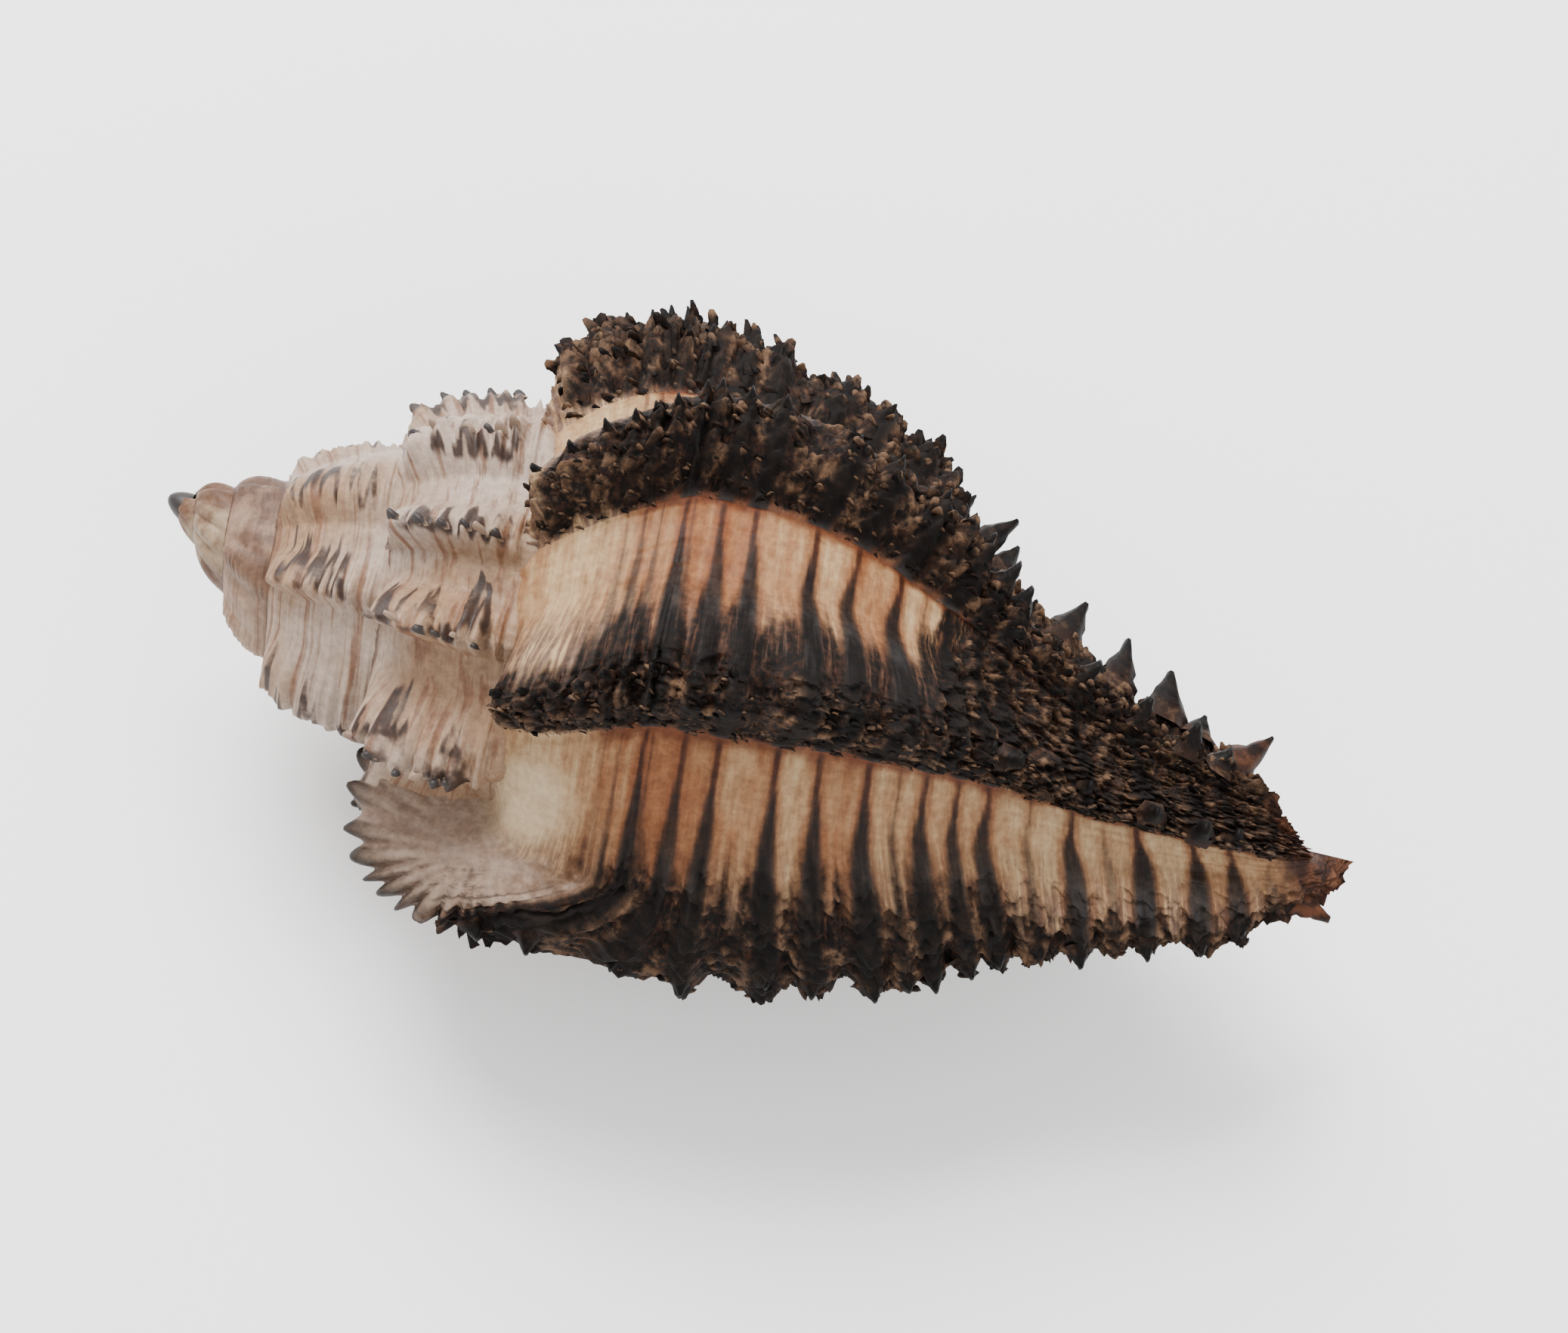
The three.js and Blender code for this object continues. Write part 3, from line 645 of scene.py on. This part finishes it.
def leaves(
    name, w, a, length, width, back, apex, curl,
    thick=0.16, steps=5, seed=0, gutter=0.5, sink=0.35, taper=0.75, blunt=0.04, rough=0.0,
):
    """Closed tapering crescents. Axis: root + length * (t * aim + curl * t^2 * towards the apex); half-width falls
    as (1 - t)^taper, a share `rough` of it random; the section is a flattened ring bent forwards at its edges."""
    n, shade = len(w), np.random.default_rng(seed).uniform(0, 1, len(w))
    root = skin(w, a, relief(w, a))
    along_w = skin(w + 1e-3, a) - skin(w - 1e-3, a)
    down = skin(w, a + 3e-3) - skin(w, a - 3e-3)
    face_out = np.cross(along_w, down)
    turn = turned(w, a)
    x, r = outline(turn, a)
    nx, nr = normal_of(turn, a)
    radial = place(turn, x + nx * 0.01, r + nr * 0.01) - place(turn, x, r)
    fwd = place(turn + 1e-3, x, r) - place(turn, x, r)
    face_out, radial, fwd = (v / (np.linalg.norm(v, axis=1)[:, None] + 1e-12) for v in (face_out, radial, fwd))
    side = np.cross(fwd, radial)
    side *= np.sign(side[:, :1] + 1e-9)  # towards the canal
    aim = 0.45 * face_out + 0.75 * radial - fwd * back[:, None] - side * apex[:, None]
    aim /= np.linalg.norm(aim, axis=1)[:, None]
    wide = side - aim * np.sum(side * aim, 1)[:, None]
    wide /= np.linalg.norm(wide, axis=1)[:, None]
    face = np.cross(aim, wide)
    face *= np.sign(np.sum(face * fwd, 1))[:, None]
    t, phi = np.linspace(0, 1, steps)[:, None], np.linspace(0, 2 * np.pi, RING, endpoint=False)[None, :]
    uneven = np.random.default_rng(seed + 90).uniform(-1, 1, (n, steps, RING))
    half = ((1 - t) ** taper * (1 - blunt) + blunt) * (1 + rough * uneven)
    u = np.cos(phi) * half
    v = np.sin(phi) * thick * (0.35 + 0.65 * half) + gutter * np.cos(phi) ** 2 * half
    T = t[None, :, :, None]
    length, width, curl = (np.asarray(q)[:, None, None, None] for q in (length, width, curl))
    hook = -(side * 0.8 + fwd * 0.4)[:, None, None, :]
    root, along, wide4, face4 = (q[:, None, None, :] for q in (root, aim, wide, face))
    pts = root - along * sink + length * (T * along + curl * T**2 * hook)
    pts = pts + width * (u[..., None] * wide4 + v[..., None] * face4)
    idx = np.arange(n * steps * RING).reshape(n, steps, RING)
    nxt = np.roll(idx, -1, 2)
    quads = np.stack([idx[:, :-1], idx[:, 1:], nxt[:, 1:], nxt[:, :-1]], -1)
    caps = np.stack([idx[:, -1][:, [0, 1, 2, 3]], idx[:, -1][:, [3, 4, 5, 0]]], 1)
    inside_out = np.sum(np.cross(wide, face) * aim, 1) > 0
    quads[inside_out], caps[~inside_out] = quads[inside_out][..., ::-1], caps[~inside_out][..., ::-1]
    values = {"tip": t[None], "shade": shade[:, None, None], "along": a[:, None, None], "whorl": w[:, None, None]}
    values = {key: np.broadcast_to(q, (n, steps, RING)) for key, q in values.items()}
    return mesh_of(name, pts.reshape(-1, 3), np.concatenate([quads.reshape(-1, 4), caps.reshape(-1, 4)]), values)


# %% [markdown]
# Scales crowd over the crest and the steep front of each ridge, ten rows of them, shaken out of line. They are left
# out where the first ridge is hidden behind the mouth and where the fan is smooth.

# %% Scales crowded over the ridges of the last whorl
rng = np.random.default_rng(11)


def address(k, p):
    """The whorl count at phase p of the last whorl's ridge k."""
    return RIDGE_FEET[BODY + k] + p * (RIDGE_FEET[BODY + k + 1] - RIDGE_FEET[BODY + k])


def crowded(k, s):
    """True where frills grow: not on the first ridge behind the mouth, nor on the fan."""
    return ~((k == 0) & (s > 0.9)) & ~((k == 5) & (s < 0.85))


K, P, S = (v.ravel() for v in np.meshgrid(np.arange(6), np.linspace(0.66, 0.98, 10), np.arange(58), indexing="ij"))
S = np.interp(S + rng.uniform(-0.5, 0.5, S.size), [0, 12, 57], [0.14, 1.0, 1.93])
P = np.clip(P + rng.normal(0, 0.014, P.size), 0.55, 0.985)
front = P > np.where(K == 2, 0.64, 0.72) + 0.06 * (1 - ease((S - 0.3) / 0.3))
keep = front & crowded(K, S) & (rng.uniform(0, 1, S.size) > 0.08)
K, P, S = K[keep], P[keep], S[keep]
tall = (0.35 + 0.5 * bump(P, 0.80, 0.13)) * rng.uniform(0.5, 1.5, S.size)
tall = tall * np.select([K == 2, K == 5, K == 4], [1.25, 0.6, 0.65], 0.75)
width, back, apex = rng.uniform(0.3, 0.65, S.size), rng.normal(0.1, 0.35, S.size), rng.normal(0.2, 0.45, S.size)
scales = leaves(
    "ridge_scales", address(K, P), S, tall, width, back, apex, rng.uniform(0.0, 0.45, S.size),
    seed=1, taper=0.45, blunt=0.34, gutter=0.45, thick=0.3, rough=0.2,
)

# %% [markdown]
# Horns stand where a cord crosses the crest of a ridge. They are small among the scales, and grow into broad thorns
# on the side of the canal. Two more are the ends of canals: an old one, which the snail outgrew, and the last.

# %% Horns: one where each cord crosses each ridge's crest
K, C = (v.ravel() for v in np.meshgrid(np.arange(6), np.arange(len(CORD_AT)), indexing="ij"))
S = CORD_AT[C]
keep = crowded(K, S) & ~((S > 1.4) & (CORD_DARK[C] < 0.5))
K, S = K[keep], S[keep]
flank = ease((S - FLANK) / 0.08)
heights = [0.9 + 2.9 * flank, 0.7 + 1.3 * flank, 0.6 + 0.9 * flank, 0.9 + 0.1 * flank]
tall = np.select([K == 2, K == 3, K == 4, K == 5], heights, 0.6)
tall = tall * rng.uniform(0.85, 1.12, S.size) * np.where(S > 1.85, 0.5, 1.0)
wide = np.select([K == 2, K == 5], [0.8 + 1.5 * flank, 1.3], 0.8 + 0.7 * flank) * rng.uniform(0.9, 1.12, S.size)
phase, lean = CREST - 0.03 + rng.normal(0, 0.012, K.size), rng.uniform(-0.2, 0.15, S.size)
curls, ROOT = rng.uniform(0.0, 0.25, S.size) * np.where(K == 5, 0.2, 1), 0.8
spouts = np.array([  # ridge, a, length, width, phase, lean towards the apex, curl
    [2, 1.95, 3.9, 1.9, 0.74, -0.45, 0.12],
    [5, 1.965, 2.3, 1.6, 0.80, -0.95, 0.0],
])
columns_of = zip((K, S, tall, wide, phase, lean, curls), spouts.T)
K, S, tall, wide, phase, lean, curls = (np.append(old, new) for old, new in columns_of)
horns = leaves(
    "crest_horns", address(K.astype(int), phase), S, tall + ROOT, wide, rng.uniform(-0.05, 0.25, S.size), lean, curls,
    thick=0.75, steps=9, seed=2, gutter=0.15, sink=ROOT, taper=1.15, blunt=0.12, rough=0.14,
)

# %% [markdown]
# The spire's horns are worn to short points, smaller the earlier the whorl.

# %% Points on the ridges of the spire
K, P, C = (v.ravel() for v in np.meshgrid(np.arange(-8, 0), [0.76], np.arange(6), indexing="ij"))
P, S = np.clip(P + rng.normal(0, 0.02, K.size), 0.5, 0.95), CORD_AT[C] + rng.normal(0, 0.012, K.size)
size = ease((address(K, P) - 2.9) / 2.2)
tall, wide = (0.5 + 0.5 * size) * rng.uniform(0.7, 1.2, K.size), (0.3 + 0.35 * size) * rng.uniform(0.7, 1.1, K.size)
back, apex, curls = (rng.uniform(low, high, K.size) for low, high in ((0.0, 0.3), (0.1, 0.4), (0, 0.2)))
spire_points = leaves(
    "spire_points", address(K, P), S, tall, wide, back, apex, curls,
    seed=3, thick=0.6, sink=0.5, taper=0.6, blunt=0.25, rough=0.15,
)

# %% [markdown]
# Shader maths reads best as arithmetic, so a small class wraps a socket and lets +, - and * add the Math nodes. A
# second class is one material: a method for any node, and short ones for the few that every finish here needs.

# %% Writing materials as expressions


class Value:
    """A socket that can be used in arithmetic."""

    def __init__(self, finish, socket):
        self.finish, self.socket = finish, socket

    def math(self, operation, first, second):
        return self.finish.node("Math", {"operation": operation}, {0: first, 1: second})

    def __add__(self, other):
        return self.math("ADD", self, other)

    def __sub__(self, other):
        return self.math("SUBTRACT", self, other)

    def __rsub__(self, other):
        return self.math("SUBTRACT", other, self)

    def __mul__(self, other):
        return self.math("MULTIPLY", self, other)

    __radd__, __rmul__ = __add__, __mul__

    def above(self, low, high):
        """0 at low, 1 at high, a smooth S between."""
        return self.finish.node("MapRange", {"interpolation_type": "SMOOTHSTEP"}, {0: self, 1: low, 2: high})


class Finish:
    """One material and the nodes in it."""

    def __init__(self, name, **fixed):
        self.material = bpy.data.materials.new(name)
        self.material.use_nodes = True
        self.tree = self.material.node_tree
        self.shader = self.tree.nodes["Principled BSDF"]
        for key, value in fixed.items():
            self.shader.inputs[key.replace("_", " ")].default_value = value
        self.object = self.node("TexCoord", out="Object")

    def node(self, kind, settings=None, inputs=None, out=0):
        """Add ShaderNode<kind>, apply its settings, then its sockets' values or links, and return one output."""
        n = self.tree.nodes.new("ShaderNode" + kind)
        for key, value in (settings or {}).items():
            setattr(n, key, value)
        for key, value in (inputs or {}).items():
            if isinstance(value, Value):
                self.tree.links.new(value.socket, n.inputs[key])
            else:
                n.inputs[key].default_value = (*value, 1) if n.inputs[key].type == "RGBA" else value
        return Value(self, n.outputs[out])

    def attribute(self, name):
        return self.node("Attribute", {"attribute_name": name}, out="Fac")

    def mix(self, factor, first, second, blend="MIX"):
        """Colour mix: first where the factor is 0."""
        return self.node("Mix", {"data_type": "RGBA", "blend_type": blend}, {0: factor, 6: first, 7: second}, out=2)

    def noise(self, vector, scale, detail=4.0, rough=0.55, stretch=(1, 1, 1)):
        vector = self.node("Mapping", {}, {0: vector, 3: stretch})
        return self.node("TexNoise", {}, {"Vector": vector, "Scale": scale, "Detail": detail, "Roughness": rough})

    def deep(self, colour, power=1.85, share=0.74):
        """Raise a colour to a power, so darks sink most, then keep a share of its light and of its saturation."""
        sunk = self.node("Gamma", {}, {0: colour, 1: power})
        return self.node("HueSaturation", {}, {"Saturation": 0.95, "Value": share, "Color": sunk})

    def bump(self, height, strength, distance, under=None):
        inputs = {"Strength": strength, "Distance": distance, "Height": height}
        return self.node("Bump", {}, inputs if under is None else {**inputs, "Normal": under})

    def wear(self, *pieces, **links):
        """Link the named inputs of the shader and put the finish on the pieces."""
        for key, value in links.items():
            self.tree.links.new(value.socket, self.shader.inputs[key.replace("_", " ")])
        for piece in pieces:
            piece.data.materials.append(self.material)


def tint(r, g, b):
    """A paint-chart colour, 0 to 255 a channel, as the linear light that shaders use."""
    return tuple((v / 255 / 12.92) if v <= 10 else ((v / 255 + 0.055) / 1.055) ** 2.4 for v in (r, g, b))


CREAM, TAN_C, RUST = tint(214, 195, 166), tint(184, 144, 108), tint(150, 104, 72)
UMBER, BLACK, SLATE = tint(96, 74, 62), tint(54, 43, 38), tint(100, 100, 102)
LILAC, OLIVE, WHITE = tint(152, 132, 124), tint(158, 136, 116), tint(206, 193, 183)

# %% [markdown]
# The wall of the last whorl. Cream and orange ground first, with lilac-grey streaks on the slope up to each ridge,
# partly the shell's own and partly a painted sheen; then rust beside each cord and the dark cord itself, then soot
# over the ridge with olive scales showing through, lightest on the raised crumple as a painted highlight, and last
# the places that differ: the pale fan, the amber end of the canal, and the polished pillar by the mouth.

# %% Finish of the last whorl
f = Finish("whorl_finish", IOR=1.5, Specular_IOR_Level=0.14)
uv = f.node("UVMap", {"uv_map": "spiral"})
p, a, line, soot, fan = (f.attribute(n) for n in ("phase", "along", "line", "soot", "fan"))
fibre = f.noise(uv, 14.0, 4, 0.6, (0.25, 2.2, 1))
fine = f.noise(f.object, 1500.0, 4, 0.65)
cloud = f.noise(f.object, 700.0, 4, 0.65)
base = f.mix(f.attribute("tan"), CREAM, TAN_C)
base = f.mix(fibre.above(0.35, 0.7) * 0.25, base, tint(160, 116, 84))
# Lilac-grey streaks on the slope that rises to the next ridge: partly the shell's own streaks, partly a painted
# sheen.
base = f.mix(p.above(0.3, 0.62) * fibre.above(0.32, 0.6) * 0.85, base, LILAC)
base = f.mix(f.attribute("halo") * (0.25 + fibre * 0.6), base, tint(166, 118, 80))
base = f.mix(f.attribute("rust") * 0.8, base, RUST)
dark_line = f.mix(p.above(0.08, 0.26), tint(118, 82, 62), f.mix(p.above(0.3, 0.5), tint(78, 62, 56), SLATE))
base = f.mix(line * (0.72 + fibre * 0.45), base, dark_line)
# Olive mottles over the crumpled crust, strongest where it is raised: partly the ridge's own mottling, partly a
# painted highlight on the high points.
raised_olive_and_highlight = f.attribute("crust").above(0.45, 1.1) * cloud.above(0.38, 0.62) * (1 - line * 0.45)
scaly = f.mix(raised_olive_and_highlight, f.mix(fine.above(0.42, 0.62), BLACK, UMBER), OLIVE)
streaks = fibre.above(0.46, 0.64) * (1 - f.attribute("crust").above(0.1, 0.6))
base = f.mix(soot.above(0.05, 0.95) * (0.97 - streaks * 0.55), base, f.mix(line * 0.8, scaly, BLACK))
pale = f.mix(f.attribute("ray").above(0.1, 0.9), tint(172, 156, 147), tint(204, 189, 177))
pale = f.mix(cloud.above(0.35, 0.65) * 0.4, pale, tint(180, 158, 140))
pale = f.mix(f.attribute("tips"), pale, tint(72, 64, 60))
base = f.mix(fan, base, pale)
base = f.mix(f.attribute("swirl") * cloud.above(0.35, 0.6) * 0.8, base, tint(138, 106, 74))
base = f.mix(a.above(1.93, 1.985), base, f.mix(cloud.above(0.4, 0.6), tint(106, 80, 70), tint(150, 116, 92)))
base = f.mix(f.attribute("hollow").above(0.25, 0.85) * 0.85, base, tint(222, 207, 184))
base = f.mix(f.attribute("callus").above(0.15, 0.5), base, tint(222, 212, 196))
colour = f.mix(0.25, base, f.mix(fine.above(0.3, 0.7), tint(60, 52, 46), tint(236, 228, 216)), "SOFT_LIGHT")
normal = f.bump(fine, 0.3, 0.0002, f.bump(fibre, 0.06, 0.0003))
f.wear(*walls, Base_Color=f.deep(colour), Roughness=0.42 + fine * 0.25 + soot * 0.2, Normal=normal)

# %% [markdown]
# The spire is older and worn pale. Its earliest whorls are tan with white knobs, and on the later ones every ridge
# carries a brown mark whose points reach backwards along the cords, darkest at their edge.

# %% Finish of the spire
f = Finish("spire_finish", IOR=1.5, Roughness=0.55, Specular_IOR_Level=0.3)
uv = f.node("UVMap", {"uv_map": "spiral"})
p, a, w, flame, rim = (f.attribute(n) for n in ("phase", "along", "whorl", "flame", "rim"))
fibre, cloud = f.noise(uv, 14.0, 4, 0.6, (0.25, 2.2, 1)), f.noise(f.object, 260.0, 4, 0.55)
fine, haze = f.noise(f.object, 1500.0, 4, 0.65), f.noise(f.object, 90.0, 3, 0.5)
freckle = f.noise(uv, 5.0, 5, 0.62, (0.5, 1.6, 1))
base = f.mix(haze.above(0.35, 0.65), WHITE, tint(190, 166, 142))
base = f.mix(fibre.above(0.5, 0.7) * 0.3, base, tint(172, 138, 110))
base = f.mix(freckle.above(0.50, 0.64) * 0.6, base, tint(156, 116, 88))
base = f.mix(flame.above(0.0, 0.25) * 0.85, base, tint(180, 130, 90))
base = f.mix(flame.above(0.3, 0.8) * 0.75, base, f.mix(cloud.above(0.4, 0.6), tint(122, 96, 84), tint(152, 130, 118)))
base = f.mix(rim.above(0.3, 0.9) * cloud.above(0.34, 0.52) * 0.85, base, tint(92, 70, 60))
early = f.mix(cloud.above(0.42, 0.6), tint(192, 176, 156), tint(152, 122, 98))
early = f.mix(w.above(2.0, 2.8), early, f.mix(cloud.above(0.4, 0.6), tint(184, 162, 146), tint(146, 120, 104)))
base = f.mix(w.above(2.95, 3.2), early, base)
base = f.mix((0.05 - a).above(0.0, 0.05) * 0.6, base, tint(110, 78, 62))
colour = f.mix(0.25, base, f.mix(fine.above(0.3, 0.7), tint(60, 52, 46), tint(236, 228, 216)), "SOFT_LIGHT")
f.wear(spire, Base_Color=f.deep(colour), Normal=f.bump(fine, 0.3, 0.0002, f.bump(fibre, 0.06, 0.0003)))

# %% [markdown]
# The frills share the ridges' colours: nearly black, with a painted highlight in olive-tan on the free ends of some.
# The two ends of the canal are amber, and the worn points of the spire are pale with a few dark tips.

# %% Finish of the frills
f = Finish("frill_finish", Specular_IOR_Level=0.12)
tip, shade = f.attribute("tip"), f.attribute("shade")
grain = f.noise(f.object, 1300.0, 4, 0.6)
base = f.mix(grain.above(0.4, 0.65), BLACK, UMBER)
# Painted highlight: olive-tan towards the free ends of some leaves.
base = f.mix(tip.above(0.0, 0.8) * grain.above(0.3, 0.6) * shade.above(0.15, 0.75), base, OLIVE)
f.wear(scales, Base_Color=f.deep(base), Roughness=0.5 + grain * 0.3, Normal=f.bump(grain, 0.4, 0.0003))

f = Finish("horn_finish", Specular_IOR_Level=0.12)
tip, a, grain = f.attribute("tip"), f.attribute("along"), f.noise(f.object, 900.0, 4, 0.6)
base = f.mix(grain.above(0.45, 0.68) * (1 - tip) * 0.7, f.mix(tip.above(0.1, 0.6), UMBER, BLACK), OLIVE)
base = f.mix(a.above(1.93, 1.96) * grain.above(0.3, 0.7), base, tint(146, 108, 82))
f.wear(horns, Base_Color=f.deep(base), Roughness=0.45 + grain * 0.3, Normal=f.bump(grain, 0.4, 0.0003))

f = Finish("spire_point_finish", Roughness=0.6)
tip, shade, w = (f.attribute(n) for n in ("tip", "shade", "whorl"))
grain = f.noise(f.object, 700.0, 4, 0.6)
base = f.mix(w.above(3.9, 4.5) * shade.above(0.25, 0.5) * tip.above(0.1, 0.5), tint(184, 164, 146), tint(88, 70, 62))
f.wear(spire_points, Base_Color=f.deep(base), Normal=f.bump(grain, 0.4, 0.0003))

# %% [markdown]
# The bulb is plain horn-brown. The mouth is the one glossy place: porcelain with a thin coat, and painted shade that
# darkens it deep inside.

# %% Finish of the bulb, and porcelain for the mouth
f = Finish("bulb_finish", Roughness=0.5)
grain = f.noise(f.object, 900.0, 4, 0.6)
f.wear(first_bulb, Base_Color=f.deep(f.mix(grain.above(0.3, 0.7), tint(60, 42, 36), tint(104, 82, 68))))
f = Finish("porcelain", Roughness=0.22, Coat_Weight=0.3)
soft, shade_depth = f.noise(f.object, 120.0, 3, 0.5), f.attribute("shade_depth")
base = f.mix(soft.above(0.35, 0.7), tint(226, 216, 200), tint(206, 184, 160))
# Painted shade: the porcelain turns brown the deeper it lies in the chamber.
base = f.mix(shade_depth.above(0.05, 0.8), base, tint(150, 120, 100))
f.wear(chamber, lip, pillar, Base_Color=f.deep(base, 1.3), Normal=f.bump(soft, 0.15, 0.0006))

# %% [markdown]
# The shell is one rigid body, so every piece rides on it, and together they stand in for the plain solid.

# %% Everything belongs to the one body, in place of the plain solid
for obj in (*walls, spire, first_bulb, chamber, lip, pillar, scales, horns, spire_points):
    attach(obj, "root")
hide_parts("shell")

# %% [markdown]
# A pale floor, wide soft lights and a long lens square to the shell's axis, which slopes a little across the view.

# %% Floor
bpy.ops.mesh.primitive_plane_add(size=6, location=(0, 0, -0.0001))
floor = bpy.context.object
floor.name = "floor"
f = Finish("floor_finish", Roughness=0.9, Base_Color=(0.97, 0.97, 0.97, 1))
f.wear(floor)
floor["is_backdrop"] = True

# %% Camera
SLOPE, DISTANCE, VIEW_WIDTH, SENSOR = math.radians(15.77), 0.30, 0.1215, 36
AIM_AT = np.array([49.44, 0.4, 0.0])  # millimetres in the drawn shell
COS, SIN = math.cos(SLOPE), math.sin(SLOPE)
right, upward, towards = (LAY @ np.array(v) for v in ((COS, SIN, 0), (-SIN, COS, 0), (0, 0, 1.0)))
eye = lay(AIM_AT[None])[0] + towards * DISTANCE
camera = bpy.data.objects.new("camera", bpy.data.cameras.new("camera"))
bpy.context.scene.collection.objects.link(camera)
camera.matrix_world = Matrix([[right[i], upward[i], towards[i], eye[i]] for i in range(3)] + [[0, 0, 0, 1]])
camera.data.sensor_width, camera.data.lens = SENSOR, SENSOR * DISTANCE / VIEW_WIDTH
bpy.context.scene.camera = camera
print("camera at", [round(float(v), 3) for v in eye], "lens", round(camera.data.lens, 1))

# %% Lights


def lamp(name, where, size, power):
    """A square area light aimed at the shell."""
    data = bpy.data.lights.new(name, "AREA")
    data.size, data.energy = size, power
    obj = bpy.data.objects.new(name, data)
    bpy.context.scene.collection.objects.link(obj)
    obj.location = where
    obj.rotation_euler = (-Vector(where)).to_track_quat("-Z", "Y").to_euler()


lamp("key", (-0.25, 0.35, 0.55), 0.4, 11.0)
lamp("fill", (0.45, -0.3, 0.45), 0.6, 1.5)
world = bpy.data.worlds.new("studio")
bpy.context.scene.world = world
world.use_nodes = True
world.node_tree.nodes["Background"].inputs["Color"].default_value = (1, 1, 1, 1)
world.node_tree.nodes["Background"].inputs["Strength"].default_value = 1.45

# %% [markdown]
# Last, the box of everything drawn is set beside the solid's box, because the looks may not outgrow the solid.

# %% Measure and finish
bpy.context.view_layer.update()
box = [list(map(float, corner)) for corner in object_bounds()]
beyond = [[round((box[i][j] - CAD_BOX[i][j]) * 1000, 2) for j in range(3)] for i in range(2)]
print("looks beyond the solid, mm:", beyond)
